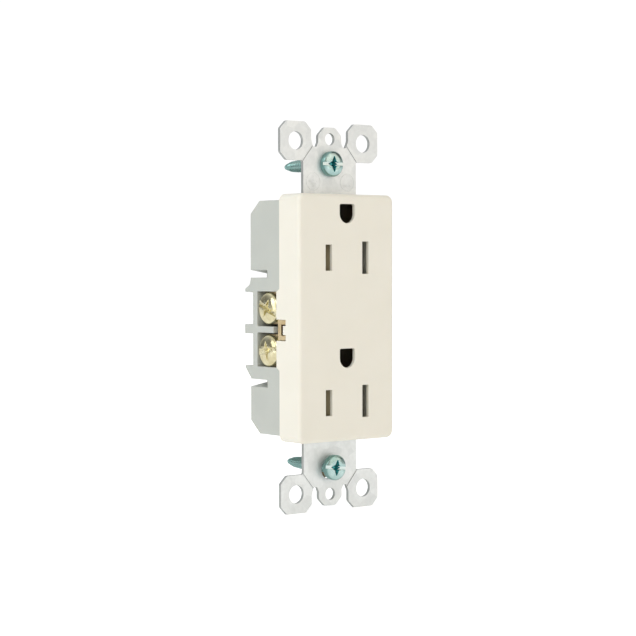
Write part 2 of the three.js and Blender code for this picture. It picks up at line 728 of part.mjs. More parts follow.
function retainingWasher() {
  const { radius, bore, thick, at } = WASHER;
  const ring = disc(0, 0, radius);
  ring.holes.push(new THREE.Path().absarc(0, 0, bore, 0, 2 * Math.PI));
  return throughY(ring, at, at + thick);
}

// ---- Tamper-resistant shutters --------------------------------------------------------------

function shutterTray(z) {
  const { halfX, endX, halfZ, railZ, front, floor, back, window } = TRAY;
  const windowZ = [z - window.half, z + window.half];
  const opening = (side) => box(onSide(side, window.x), [front, back + PAST], windowZ);
  return cut(
    box([-halfX, halfX], [front, back], [z - halfZ, z + halfZ]),
    box([-endX, endX], [front - PAST, floor[0]], [z - railZ, z + railZ]),
    box([-endX, endX], [floor[1], PAST], [z - railZ, z + railZ]),
    opening(-1),
    opening(1),
  );
}

function shutter(side, z) {
  const { inner, outer, ramp, front, rampEnd, back, halfZ } = SHUTTER;
  const outline = [[inner, front], [ramp, front], [outer, rampEnd], [outer, back], [inner, back]];
  const pocketX = onSide(side, [inner - PAST, SPRING.pocketEnd]);
  const pocket = throughX(disc(SPRING.y, z, SPRING.pocket), ...pocketX);
  return throughZ(mirrored(side, outline), z - halfZ, z + halfZ).subtract(pocket);
}

class Helix extends THREE.Curve {
  getPoint(t, target = new THREE.Vector3()) {
    const angle = 2 * Math.PI * SPRING.turns * t;
    const reach = SPRING.half - SPRING.wire;
    const { radius } = SPRING;
    return target.set(reach * (2 * t - 1), radius * Math.cos(angle), radius * Math.sin(angle));
  }
}

function shutterSpring() {
  const wire = new THREE.Shape();
  for (let corner = 0; corner < SPRING.wireFacets; corner++) {
    const angle = (corner * 2 * Math.PI) / SPRING.wireFacets;
    wire[corner ? "lineTo" : "moveTo"](SPRING.wire * Math.cos(angle), SPRING.wire * Math.sin(angle));
  }
  const steps = SPRING.turns * SPRING.stepsPerTurn;
  const sweep = { steps, extrudePath: new Helix(), bevelEnabled: false };
  return solid(new THREE.ExtrudeGeometry(wire, sweep));
}

// ---- Assembly -------------------------------------------------------------------------------

const finish = (color, roughness, metalness) =>
  new THREE.MeshStandardMaterial({ color, roughness, metalness });

const MATERIALS = {
  almond: finish(0xe9e3d0, 0.38, 0),
  greyPlastic: finish(0xc9cdc8, 0.5, 0),
  blackPlastic: finish(0x3a3a38, 0.6, 0),
  taupePlastic: finish(0x8b8371, 0.5, 0),
  galvanised: finish(0xd9dad6, 0.42, 1),
  brass: finish(0xc9a45c, 0.3, 1),
  brassScrew: finish(0xd9c98a, 0.25, 1),
  nickel: finish(0xcfcfcc, 0.25, 1),
  tealZinc: finish(0x86b3ad, 0.28, 1),
  greenZinc: finish(0x2f8f4e, 0.32, 1),
  steel: finish(0xb8babb, 0.3, 1),
  fibre: finish(0xb9a98c, 0.8, 0),
};

const outlet = new THREE.Group();
const pieces = new THREE.Group();
pieces.position.y = -FACE.front;
outlet.add(pieces);

// Adds one named piece. It may be moved, leaned about its own y axis and then swung about z.
function place(name, piece, material, position = [0, 0, 0], lean = 0, swing = 0) {
  const { numProp, vertProperties, triVerts } = piece.getMesh();
  const points = new THREE.BufferAttribute(new Float32Array((vertProperties.length / numProp) * 3), 3);
  for (let i = 0; i < points.count; i++) {
    points.setXYZ(i, ...vertProperties.subarray(i * numProp, i * numProp + 3));
  }
  const geometry = new THREE.BufferGeometry().setAttribute("position", points);
  geometry.setIndex(new THREE.BufferAttribute(triVerts, 1));
  const flat = geometry.toNonIndexed();
  flat.computeVertexNormals();
  const mesh = new THREE.Mesh(flat, material);
  mesh.name = name;
  mesh.position.set(...position);
  mesh.rotation.set(0, lean, swing, "ZYX");
  pieces.add(mesh);
}

place("face_cover", faceCover(), MATERIALS.almond);
place("rear_body", rearBody(), MATERIALS.greyPlastic);
place("insulator_plate", insulatorPlate(), MATERIALS.blackPlastic);
place("mounting_strap", mountingStrap(), MATERIALS.galvanised);

const SIDES = { hot: -1, neutral: 1 };
const LEAN = { hot: { upper: 0.45, lower: -0.17 }, neutral: { upper: 0.3, lower: -0.5 } }; // slot angles

for (const [name, z] of Object.entries(OUTLETS)) {
  const pin = z + GROUND.rise;
  const rivetSide = name === "upper" ? -1 : 1;
  place(`${name}_ground_clip`, groundClip(pin, rivetSide), MATERIALS.brass);
  place(`${name}_ground_rivet`, rivet(pin + rivetSide * GROUND.rivet), MATERIALS.steel);
  place(`${name}_shutter_tray`, shutterTray(z), MATERIALS.greyPlastic);
  place(`${name}_shutter_spring`, shutterSpring(), MATERIALS.steel, [0, SPRING.y, z]);
  for (const [pole, side] of Object.entries(SIDES)) {
    place(`${name}_${pole}_shutter`, shutter(side, z), MATERIALS.taupePlastic);
  }
  const { z: screwZ, lift } = MOUNT_SCREWS[name];
  const screwAt = [0, -SEAT_GAP - lift, screwZ];
  place(`${name}_mounting_screw`, bindingScrew(MOUNT_SCREW), MATERIALS.tealZinc, screwAt);
  place(`${name}_retaining_washer`, retainingWasher(), MATERIALS.fibre, [0, -lift, screwZ]);
}

for (const [pole, side] of Object.entries(SIDES)) {
  const metal = side < 0 ? MATERIALS.brass : MATERIALS.nickel;
  const screwMetal = side < 0 ? MATERIALS.brassScrew : MATERIALS.nickel;
  const swing = (side * Math.PI) / 2;
  place(`${pole}_contact_bar`, contactBar(side), metal);
  for (const [name, z] of Object.entries(TERMINAL.screws)) {
    const clamp = clampPlate(side, SCREW.seat, TERMINAL.screwY, z, CLAMP.half);
    const at = [side * SCREW.seat, TERMINAL.screwY, z];
    place(`${name}_${pole}_clamp_plate`, clamp, screwMetal);
    place(`${name}_${pole}_screw`, bindingScrew(SCREW), screwMetal, at, LEAN[pole][name], swing);
  }
}

const { seat: groundSeat, y: groundY, z: groundZ, clampHalf } = GROUND_TERMINAL;
const groundAt = [groundSeat, groundY, groundZ];
place("ground_clamp_plate", clampPlate(1, groundSeat, groundY, groundZ, clampHalf), MATERIALS.greenZinc);
place("ground_screw", hexScrew(), MATERIALS.greenZinc, groundAt, HEX_SCREW.lean, Math.PI / 2);

export default outlet;
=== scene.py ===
"""A duplex wall outlet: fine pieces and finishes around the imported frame.

Shapes are built in millimetres, in the row frame, and scaled to metres when they are placed.
+X is right, +Y goes into the wall, +Z is up, and the front face is at y = 0.
"""

import json
import math

import bmesh
import bpy
from mathutils import Matrix, Vector


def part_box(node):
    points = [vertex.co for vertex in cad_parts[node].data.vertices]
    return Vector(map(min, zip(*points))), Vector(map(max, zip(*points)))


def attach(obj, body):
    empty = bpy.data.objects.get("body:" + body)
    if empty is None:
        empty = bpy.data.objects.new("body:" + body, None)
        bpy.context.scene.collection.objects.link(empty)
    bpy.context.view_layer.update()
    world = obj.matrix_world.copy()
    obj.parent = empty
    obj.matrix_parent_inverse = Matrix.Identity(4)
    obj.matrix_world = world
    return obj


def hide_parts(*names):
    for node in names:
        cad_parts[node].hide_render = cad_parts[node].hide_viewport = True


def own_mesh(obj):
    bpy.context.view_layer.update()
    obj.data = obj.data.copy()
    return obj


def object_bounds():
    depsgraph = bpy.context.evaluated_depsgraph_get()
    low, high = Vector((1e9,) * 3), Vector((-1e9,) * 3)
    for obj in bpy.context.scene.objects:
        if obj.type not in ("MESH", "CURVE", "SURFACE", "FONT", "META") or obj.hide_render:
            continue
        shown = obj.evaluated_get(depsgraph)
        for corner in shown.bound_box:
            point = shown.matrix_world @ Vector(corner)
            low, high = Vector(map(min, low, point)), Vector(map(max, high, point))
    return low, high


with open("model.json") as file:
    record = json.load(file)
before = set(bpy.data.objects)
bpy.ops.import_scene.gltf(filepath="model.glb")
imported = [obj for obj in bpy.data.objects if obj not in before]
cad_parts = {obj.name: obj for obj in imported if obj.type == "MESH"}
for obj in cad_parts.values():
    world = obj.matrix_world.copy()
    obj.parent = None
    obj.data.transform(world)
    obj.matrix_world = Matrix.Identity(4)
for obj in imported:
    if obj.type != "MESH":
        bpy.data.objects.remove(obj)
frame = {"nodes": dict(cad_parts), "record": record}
NODES = frame["nodes"]
CAD_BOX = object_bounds()
MM = 0.001
FULL = 2 * math.pi
FAR = 80.0  # beyond every side of the object
PAST = 1.0  # how far a cutting tool runs past the face that it cuts
CLOSE = 0.01  # points this near a plane count as on it, and a tool this far above a face still cuts it
SAME_POINT = 0.002  # points closer than this are one point
SAME_PLANE = 0.5  # faces within this many degrees are one face


def node_box(node):
    """A CAD node's lowest and highest corners in millimetres."""
    low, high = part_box(node)
    return low / MM, high / MM


# ---- Outlines, as lists of 2-D points --------------------------------------------------------

def arc(a, b, radius, start, stop, steps):
    angles = [start + (stop - start) * k / steps for k in range(steps + 1)]
    return [(a + radius * math.cos(t), b + radius * math.sin(t)) for t in angles]


def circle(a, b, radius, steps=64):
    return arc(a, b, radius, 0, FULL, steps)[:-1]


def rounded(corners, steps=6):
    """A polygon whose corners (a, b, radius) are rounded off, convex or concave."""
    points = []
    for i, (a, b, radius) in enumerate(corners):
        here = Vector((a, b))
        if radius <= 0:
            points.append((a, b))
            continue
        before = (Vector(corners[i - 1][:2]) - here).normalized()
        after = (Vector(corners[(i + 1) % len(corners)][:2]) - here).normalized()
        half = before.angle(after) / 2
        centre = here + (before + after).normalized() * radius / math.sin(half)
        start = here + before * radius / math.tan(half) - centre
        stop = here + after * radius / math.tan(half) - centre
        first = math.atan2(start.y, start.x)
        sweep = math.atan2(stop.y, stop.x) - first
        sweep = (sweep + math.pi) % FULL - math.pi
        points += arc(centre.x, centre.y, radius, first, first + sweep, steps)
    return points


def rectangle(a, b, radius=0.0, steps=6):
    corners = [(a[0], b[0]), (a[1], b[0]), (a[1], b[1]), (a[0], b[1])]
    return rounded([(*corner, radius) for corner in corners], steps)


# ---- Solids, in millimetres ------------------------------------------------------------------

PLACE = {
    "x": lambda a, b, h: (h, a, b),
    "y": lambda a, b, h: (a, h, b),
    "z": lambda a, b, h: (a, b, h),
}


def mesh_object(name, verts, faces):
    mesh = bpy.data.meshes.new(name)
    mesh.from_pydata(verts, [], faces)
    work = bmesh.new()
    work.from_mesh(mesh)
    bmesh.ops.recalc_face_normals(work, faces=work.faces)
    work.to_mesh(mesh)
    work.free()
    obj = bpy.data.objects.new(name, mesh)
    bpy.context.scene.collection.objects.link(obj)
    return obj


def prism(outline, axis, span, shrink=1.0):
    """An outline pushed through the span. Its far end may shrink towards the outline's origin."""
    count = len(outline)
    near = [PLACE[axis](a, b, span[0]) for a, b in outline]
    far = [PLACE[axis](a * shrink, b * shrink, span[1]) for a, b in outline]
    sides = [(k, (k + 1) % count, count + (k + 1) % count, count + k) for k in range(count)]
    ends = [tuple(range(count)), tuple(range(2 * count - 1, count - 1, -1))]
    return mesh_object("prism", near + far, sides + ends)


def box(x, y, z):
    return prism(rectangle(x, z), "y", y)


def lathe(profile, steps=72):
    """A solid turned about the y axis. A radius may be a number or a function of the angle."""
    verts, rings = [], []
    for radius, y in profile:
        if radius == 0:
            rings.append([len(verts)])
            verts.append((0, y, 0))
            continue
        rings.append(range(len(verts), len(verts) + steps))
        for k in range(steps):
            angle = FULL * k / steps
            r = radius(angle) if callable(radius) else radius
            verts.append((r * math.sin(angle), y, r * math.cos(angle)))
    faces = []
    for one, two in zip(rings, rings[1:]):
        for k in range(steps):
            other = (k + 1) % steps
            if len(one) == 1:
                faces.append((one[0], two[k], two[other]))
            elif len(two) == 1:
                faces.append((one[k], two[0], one[other]))
            else:
                faces.append((one[k], two[k], two[other], one[other]))
    return mesh_object("lathe", verts, faces)


def discard(obj):
    bpy.data.objects.remove(obj)


def bake(obj):
    """Applies every modifier of the object to its mesh."""
    graph = bpy.context.evaluated_depsgraph_get()
    mesh = bpy.data.meshes.new_from_object(obj.evaluated_get(graph))
    obj.modifiers.clear()
    obj.data = mesh
    return obj


def combine(operation, obj, others):
    for other in others:
        step = obj.modifiers.new("combine", "BOOLEAN")
        step.operation = operation
        step.solver = "EXACT"
        step.material_mode = "TRANSFER"
        step.object = other
    bake(obj)
    for other in others:
        discard(other)
    return obj


def cut(obj, *tools):
    return combine("DIFFERENCE", obj, tools)


def join(obj, *others):
    return combine("UNION", obj, others)


def bevel(obj, width, segments=3, angle=40):
    """Rounds every edge sharper than the angle."""
    step = obj.modifiers.new("bevel", "BEVEL")
    step.width = width
    step.segments = segments
    step.limit_method = "ANGLE"
    step.angle_limit = math.radians(angle)
    step.use_clamp_overlap = True
    step.miter_outer = "MITER_ARC"
    return bake(obj)


def copy_of(node):
    """A free copy of a CAD node in millimetres, its flat faces made whole again."""
    mesh = NODES[node].data.copy()
    mesh.transform(Matrix.Scale(1 / MM, 4))
    work = bmesh.new()
    work.from_mesh(mesh)
    bmesh.ops.remove_doubles(work, verts=work.verts, dist=SAME_POINT)
    flat = math.radians(SAME_PLANE)
    bmesh.ops.dissolve_limit(work, angle_limit=flat, verts=work.verts, edges=work.edges, delimit={"NORMAL"})
    work.to_mesh(mesh)
    work.free()
    mesh.materials.clear()
    obj = bpy.data.objects.new(node + "_copy", mesh)
    bpy.context.scene.collection.objects.link(obj)
    return obj


def smooth(obj, angle=38):
    obj.data.shade_smooth()
    obj.data.set_sharp_from_angle(angle=math.radians(angle))
    step = obj.modifiers.new("flat faces first", "WEIGHTED_NORMAL")
    step.keep_sharp = True


def piece(name, obj, body, node, slot, *materials):
    """Scales a finished solid to metres, names it and lets it stand for its CAD node."""
    obj.name = name
    obj.data.name = name
    obj.data.transform(Matrix.Scale(MM, 4))
    indices = [face.material_index for face in obj.data.polygons]
    obj.data.materials.clear()
    for material in materials:
        obj.data.materials.append(material)
    for face, index in zip(obj.data.polygons, indices):
        face.material_index = min(index, len(materials) - 1)
    smooth(obj)
    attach(obj, body)
    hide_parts(node)
    return obj


# ---- Finishes --------------------------------------------------------------------------------

class Finish:
    """One node material. Sizes are in millimetres."""

    def __init__(self, name, color, roughness, metallic=0.0):
        self.name = name
        self.material = bpy.data.materials.new(name)
        self.material.use_nodes = True
        self.tree = self.material.node_tree
        self.shader = self.tree.nodes["Principled BSDF"]
        self.place = self.add("ShaderNodeTexCoord").outputs["Object"]
        self.color = self.value_of(color)
        self.rough = None
        self.base_roughness = roughness
        self.height = None
        self.shader.inputs["Metallic"].default_value = metallic
        self.shader.inputs["Roughness"].default_value = roughness

    def add(self, kind, **settings):
        node = self.tree.nodes.new(kind)
        for key, value in settings.items():
            setattr(node, key, value)
        return node

    def link(self, source, target):
        self.tree.links.new(source, target)

    def value_of(self, color):
        node = self.add("ShaderNodeRGB")
        node.outputs[0].default_value = (*color, 1)
        return node.outputs[0]

    def noise(self, size, detail=3.0, stretch=(1, 1, 1), offset=0.0):
        """Cloudy noise from 0 to 1 whose features are about that size, drawn out along an axis."""
        mapping = self.add("ShaderNodeMapping")
        mapping.inputs["Scale"].default_value = [1 / (size * MM * s) for s in stretch]
        mapping.inputs["Location"].default_value = (offset, offset, offset)
        self.link(self.place, mapping.inputs["Vector"])
        node = self.add("ShaderNodeTexNoise")
        node.inputs["Scale"].default_value = 1.0
        node.inputs["Detail"].default_value = detail
        self.link(mapping.outputs[0], node.inputs["Vector"])
        return node.outputs["Fac"]

    def cells(self, size):
        """A random grey for each crystal of about that size."""
        mapping = self.add("ShaderNodeMapping")
        mapping.inputs["Scale"].default_value = [1 / (size * MM)] * 3
        self.link(self.place, mapping.inputs["Vector"])
        node = self.add("ShaderNodeTexVoronoi")
        node.inputs["Scale"].default_value = 1.0
        self.link(mapping.outputs[0], node.inputs["Vector"])
        grey = self.add("ShaderNodeSeparateColor")
        self.link(node.outputs["Color"], grey.inputs[0])
        return grey.outputs[0]

    def spread(self, source, low, high, from_low=0.3, from_high=0.7):
        node = self.add("ShaderNodeMapRange")
        node.inputs["From Min"].default_value = from_low
        node.inputs["From Max"].default_value = from_high
        node.inputs["To Min"].default_value = low
        node.inputs["To Max"].default_value = high
        self.link(source, node.inputs["Value"])
        return node.outputs[0]

    def tint(self, share, color):
        """Mixes another colour in, by a share from 0 to 1."""
        node = self.add("ShaderNodeMix", data_type="RGBA")
        self.link(share, node.inputs["Factor"])
        self.link(self.color, node.inputs["A"])
        self.link(self.value_of(color), node.inputs["B"])
        self.color = node.outputs["Result"]

    def polish(self, source, swing, from_low=0.3, from_high=0.7):
        """Lets the roughness swing up and down with a texture."""
        low, high = self.base_roughness - swing, self.base_roughness + swing
        self.rough = self.spread(source, low, high, from_low, from_high)

    def relief(self, source, depth):
        """Adds a height of that many millimetres."""
        node = self.add("ShaderNodeBump")
        node.inputs["Distance"].default_value = depth * MM
        self.link(source, node.inputs["Height"])
        if self.height is not None:
            self.link(self.height, node.inputs["Normal"])
        self.height = node.outputs["Normal"]

    def done(self):
        self.link(self.color, self.shader.inputs["Base Color"])
        if self.rough is not None:
            self.link(self.rough, self.shader.inputs["Roughness"])
        if self.height is not None:
            self.link(self.height, self.shader.inputs["Normal"])
        return self.material


EDGE_SAMPLES = 6
GLOW = {"weight": 0.08, "depth": (1.2, 0.9, 0.6)}  # how much light a plastic lets in, and how deep it goes


def moulded(name, color, shade, roughness, grain, edge=0.0):
    """Moulded plastic: a faint flow of two tones, a fine grain, and patches of finger polish.

    Light catches its edges as if they were rounded by the edge radius.
    """
    finish = Finish(name, color, roughness)
    if edge:
        rounding = finish.add("ShaderNodeBevel", samples=EDGE_SAMPLES)
        rounding.inputs["Radius"].default_value = edge * MM
        finish.height = rounding.outputs["Normal"]
    finish.tint(finish.spread(finish.noise(size=9, detail=4), low=0, high=0.6), shade)
    finish.polish(finish.noise(size=5, detail=3, offset=7), swing=0.07)
    finish.relief(finish.noise(size=0.9, detail=2), grain)
    finish.relief(finish.noise(size=0.16, detail=2), grain / 4)
    finish.shader.inputs["Subsurface Weight"].default_value = GLOW["weight"]
    finish.shader.inputs["Subsurface Radius"].default_value = [depth * MM for depth in GLOW["depth"]]
    finish.shader.inputs["Subsurface Scale"].default_value = 1.0
    return finish


DRAWN = (1, 1, 14)  # how far the marks on rolled metal are drawn out along each axis


def rolled(name, color, shade, roughness, wave=0.012):
    """Rolled or turned metal: drawn-out marks, dull patches and a few darker stains."""
    finish = Finish(name, color, roughness, metallic=1.0)
    finish.tint(finish.spread(finish.noise(size=2.2, detail=5, offset=3), low=0, high=0.8), shade)
    finish.polish(finish.noise(size=0.5, detail=4, stretch=DRAWN), swing=0.1)
    finish.relief(finish.noise(size=0.12, detail=3, stretch=DRAWN), depth=0.004)
    finish.relief(finish.noise(size=1.4, detail=2), wave)
    return finish


def slopes(finish):
    """How far a surface faces along y, from 0 to 1."""
    side = finish.add("ShaderNodeSeparateXYZ")
    finish.link(finish.add("ShaderNodeNewGeometry").outputs["Normal"], side.inputs[0])
    flat = finish.add("ShaderNodeMath", operation="ABSOLUTE")
    finish.link(side.outputs["Y"], flat.inputs[0])
    return flat.outputs[0]


def plated(name):
    """Teal zinc plate: silvery on a head's flat top, and painted greener and darker down its sides and along
    the shank, as dark reflection.
    """
    finish = rolled(name, (0.60, 0.76, 0.74), (0.30, 0.50, 0.48), 0.18, wave=0.03)
    # painted dark reflection: faces turned away from y are tinted darker teal
    sides = finish.spread(slopes(finish), low=0.75, high=0, from_low=0.70, from_high=0.99)
    finish.tint(sides, (0.12, 0.27, 0.25))
    return finish


def within(finish, centre, half):
    """1 inside a box given by its centre and half size in millimetres, and 0 outside it."""
    place = finish.add("ShaderNodeSeparateXYZ")
    finish.link(finish.place, place.inputs[0])
    share = None
    for label, middle, reach in zip("XYZ", centre, half):
        test = finish.add("ShaderNodeMath", operation="COMPARE")
        finish.link(place.outputs[label], test.inputs[0])
        test.inputs[1].default_value = middle * MM
        test.inputs[2].default_value = reach * MM
        if share is None:
            share = test.outputs[0]
            continue
        both = finish.add("ShaderNodeMath", operation="MULTIPLY")
        finish.link(share, both.inputs[0])
        finish.link(test.outputs[0], both.inputs[1])
        share = both.outputs[0]
    return share


CRYSTAL = 2.6  # size of the zinc's crystals
PAINTED_SHADE_BOX = {"centre": (0, 8, 0), "half": (14, 1.6, 31.5)}  # the strap's middle, in the shade of the cover, where that shade is painted on


def galvanised(name):
    """Zinc-coated sheet: pale crystals on its faces, bare grey steel on its sheared edges, and its middle
    inside the cover painted nearly black as shade.
    """
    finish = Finish(name, (0.87, 0.90, 0.90), 0.46, metallic=0.7)
    crystals = finish.spread(finish.cells(CRYSTAL), low=0, high=0.7, from_low=0, from_high=1)
    finish.tint(crystals, (0.755, 0.785, 0.79))
    finish.tint(finish.spread(finish.noise(size=0.7, detail=5), low=0, high=0.35), (0.90, 0.925, 0.93))
    clouds = finish.noise(size=1.1, detail=2, offset=5)
    finish.tint(finish.spread(clouds, low=0, high=0.45), (0.75, 0.775, 0.775))
    sheared = finish.spread(slopes(finish), low=0.8, high=0, from_low=0.2, from_high=0.9)
    finish.tint(sheared, (0.34, 0.35, 0.34))
    # painted shade: the strap's middle inside the cover is darkened nearly to black
    inside = finish.spread(within(finish, **PAINTED_SHADE_BOX), low=0, high=0.9, from_low=0, from_high=1)
    finish.tint(inside, (0.085, 0.062, 0.035))
    finish.polish(finish.cells(CRYSTAL), swing=0.08, from_low=0, from_high=1)
    finish.relief(finish.noise(size=0.35, detail=3, stretch=(1, 1, 6)), depth=0.012)
    finish.relief(finish.cells(CRYSTAL), depth=0.005)
    return finish


PLASTICS = {  # colour, the tone that flows through it, roughness, depth of the grain
    "almond_plastic": ((0.86, 0.83, 0.735), (0.83, 0.80, 0.70), 0.40, 0.006),
    "black_plastic": ((0.045, 0.045, 0.042), (0.03, 0.03, 0.03), 0.55, 0.012),
    "taupe_plastic": ((0.28, 0.236, 0.131), (0.24, 0.198, 0.107), 0.48, 0.008),
    "fibre": ((0.34, 0.26, 0.17), (0.24, 0.18, 0.11), 0.8, 0.03),
}
METALS = {  # colour, colour of the stains, roughness
    "brass": ((0.90, 0.74, 0.47), (0.66, 0.47, 0.22), 0.34),
    "nickel_plate": ((0.76, 0.75, 0.72), (0.58, 0.57, 0.54), 0.22),
    # the next two are copies of the teal zinc: a paler one as painted highlight in the slots, a darker one as
    # painted shade in the crosses
    "teal_zinc_slot_painted_highlight": ((0.84, 0.93, 0.92), (0.66, 0.80, 0.78), 0.34),
    "teal_zinc_recess_painted_shade": ((0.10, 0.42, 0.43), (0.02, 0.20, 0.22), 0.30),
    "green_zinc": ((0.10, 0.42, 0.19), (0.04, 0.26, 0.10), 0.28),
    "plain_steel": ((0.56, 0.57, 0.58), (0.40, 0.41, 0.42), 0.30),
}
MADE = [moulded(name, *recipe) for name, recipe in PLASTICS.items()]
MADE.append(moulded("grey_plastic", (0.531, 0.552, 0.510), (0.492, 0.513, 0.476), 0.46, 0.010, edge=0.25))
MADE += [rolled(name, *recipe) for name, recipe in METALS.items()]
MADE.append(rolled("brass_plate", (0.90, 0.85, 0.60), (0.50, 0.42, 0.20), 0.14, wave=0.07))
MADE.append(plated("teal_zinc"))
MADE.append(galvanised("galvanised_steel"))
FINISHES = {finish.name: finish.done() for finish in MADE}
ZINC = FINISHES["teal_zinc"]
# a paler copy of the zinc is painted highlight in the screw slots, and a darker copy is painted shade in
# their crosses
PAINTED_HIGHLIGHT_ZINC = FINISHES["teal_zinc_slot_painted_highlight"]
PAINTED_SHADE_ZINC = FINISHES["teal_zinc_recess_painted_shade"]
SLOTS = {part["node"]: part["material_slot"] for part in frame["record"]["subparts"]}
BODY_OF = {node: body for body, nodes in frame["record"]["behaviour"]["bodies"].items() for node in nodes}


def stand_in(name, obj, node, *more):
    """Places a finished solid on its node's body, in its node's finish."""
    return piece(name, obj, BODY_OF[node], node, SLOTS[node], FINISHES[SLOTS[node]], *more)


# ---- Front cover -----------------------------------------------------------------------------

OUTLETS = {"upper": 16.2, "lower": -22.76}  # height of each pair of blade slots
SLOT = {"x": 6.35, "half": 1.1, "hot": 3.5, "neutral": 4.4, "corner": 0.15}
GROUND = {"rise": 11.85, "radius": 2.6, "corner": 0.5}
COVER = {"wall": 2.0, "panel": 1.0, "corner": 2.0, "edge": 1.0, "back": 8.8, "skirt": 10.1,
         "spare": 4.0}  # the rounding at the back falls in the spare length, which is cut off
SKIRT = {"low": -13.4, "high": 7.1, "slope": 1.6}
NOTCH = {"z": -3.25, "half": 2.85, "front": 6.0, "peg": 1.2, "peg_back": 7.2}
EXIT = {"half": 9.37, "front": 7.4}  # the strap's way out
LIPS = {"x": 9.0, "z": 31.5, "width": 0.32}  # the openings lie inside these, and have rounded lips
BITE = 0.1  # how far two tools overlap


def ground_outline(z, radius):
    """Flat on top, round below."""
    below = [(a, b, 0) for a, b in arc(0, z, radius, math.pi, FULL, 32)]
    return rounded([(side * radius, z + radius, GROUND["corner"]) for side in (1, -1)] + below)


def is_lip(point, front):
    return point.y < front + CLOSE and abs(point.x) < LIPS["x"] and abs(point.z) < LIPS["z"]


def soften_lips(cover, front, width):
    """Rounds the front edges of the openings more than the others."""
    work = bmesh.new()
    work.from_mesh(cover.data)
    weight = work.edges.layers.float.new("bevel_weight_edge")
    for edge in work.edges:
        inside = all(is_lip(vert.co, front) for vert in edge.verts)
        if inside and edge.calc_face_angle(0) > 1:
            edge[weight] = 1
    work.to_mesh(cover.data)
    work.free()
    step = cover.modifiers.new("lips", "BEVEL")
    step.width = width
    step.segments = 4
    step.limit_method = "WEIGHT"
    bake(cover)


def front_cover():
    low, high = node_box("face_cover")
    outline = rectangle((low.x, high.x), (low.z, high.z), COVER["corner"], 12)
    blank = prism(outline, "y", (low.y, COVER["skirt"] + COVER["spare"]))
    cover = bevel(blank, COVER["edge"], segments=8, angle=60)
    inner_x, inner_z = high.x - COVER["wall"], high.z - COVER["wall"]
    skirt_top, skirt_low = SKIRT["high"], SKIRT["low"]
    slope = SKIRT["slope"] / 2
    tools = [
        box((-inner_x, inner_x), (COVER["panel"], FAR), (-inner_z, inner_z)),
        box((-FAR, FAR), (COVER["skirt"], FAR), (-FAR, FAR)),
        prism([(COVER["back"], skirt_top + slope), (COVER["skirt"] + PAST, skirt_top - slope),
               (COVER["skirt"] + PAST, FAR), (COVER["back"], FAR)], "x", (-FAR, FAR)),
        prism([(COVER["back"], skirt_low - slope), (COVER["back"], -FAR),
               (COVER["skirt"] + PAST, -FAR), (COVER["skirt"] + PAST, skirt_low + slope)], "x", (-FAR, FAR)),
        box((-EXIT["half"], EXIT["half"]), (EXIT["front"], FAR), (-FAR, FAR)),
    ]
    through = (low.y - PAST, COVER["panel"] + PAST)
    for z in OUTLETS.values():
        for side, pole in ((-1, "hot"), (1, "neutral")):
            x, half = side * SLOT["x"], SLOT[pole]
            opening = rectangle((x - SLOT["half"], x + SLOT["half"]), (z - half, z + half), SLOT["corner"], 3)
            tools.append(prism(opening, "y", through))
        tools.append(prism(ground_outline(z + GROUND["rise"], GROUND["radius"]), "y", through))
    for side in (-1, 1):
        wall = sorted((side * (inner_x - BITE), side * (high.x + PAST)))
        z, half, peg = NOTCH["z"], NOTCH["half"], NOTCH["peg"]
        tools.append(box(wall, (NOTCH["peg_back"], FAR), (z - half, z + half)))
        for part in ((z - half, z - peg), (z + peg, z + half)):
            tools.append(box(wall, (NOTCH["front"], NOTCH["peg_back"] + BITE), part))
    cut(cover, *tools)
    soften_lips(cover, low.y, LIPS["width"])
    bevel(cover, 0.14)
    stand_in("front_cover", cover, "face_cover")


front_cover()


# ---- Strap -----------------------------------------------------------------------------------

STRAP = {"thick": 1.0, "half": 9.17, "ear_x": 11.66, "ear_z": 47.65, "ear_half": 5.25, "ear_cut": 2.1,
         "hole": 2.45}
TAB = {"half": 4.0, "top": 51.6, "cut": 2.15, "hole": 1.65, "z": 48.42}
SCREW_SLOT = {"z": 41.67, "half_x": 3.1, "half_z": 2.5}
# the gap between the tab and an ear, and how far above its floor it widens on each side
THROAT = {"z": 46.2, "inner": 4.6, "outer": 5.6, "ear_rise": 0.4, "tab_rise": 1.3}
ROUND = {"foot": 0.5, "ear": 1.0, "shoulder": 2.0, "throat": 0.42, "waist": 0.9, "tab": 1.1}  # corners
WITHIN = 30.5  # the fine ends take over from here, inside the cover
OVERLAP = 0.5  # between the fine ends and the middle
SCORE = {"half_length": 3.4, "half_width": 0.16, "depth": 0.22, "foot": (6.2, 46.2), "top": 42.6}


def strap_outline(end):
    x, z, half, nip = STRAP["ear_x"], STRAP["ear_z"], STRAP["ear_half"], STRAP["ear_cut"]
    flat = half - nip
    ear, throat, tab = ROUND["ear"], ROUND["throat"], ROUND["tab"]
    right = [
        (STRAP["half"], WITHIN, 0),
        (STRAP["half"], z - half, ROUND["foot"]),
        (x + flat, z - half, ear), (x + half, z - flat, ear),
        (x + half, z + flat, ear), (x + flat, z + half, ear),
        (x - flat, z + half, ear), (x - half, z + flat, ear),
        (x - half, z + THROAT["ear_rise"], ROUND["shoulder"]),
        (THROAT["outer"], THROAT["z"], throat), (THROAT["inner"], THROAT["z"], throat),
        (TAB["half"], THROAT["z"] + THROAT["tab_rise"], ROUND["waist"]),
        (TAB["half"], TAB["top"] - TAB["cut"], tab),
        (TAB["half"] - TAB["cut"], TAB["top"], tab),
    ]
    whole = right + [(-a, b, r) for a, b, r in reversed(right)]
    return rounded([(a, end * b, r) for a, b, r in whole], 8)


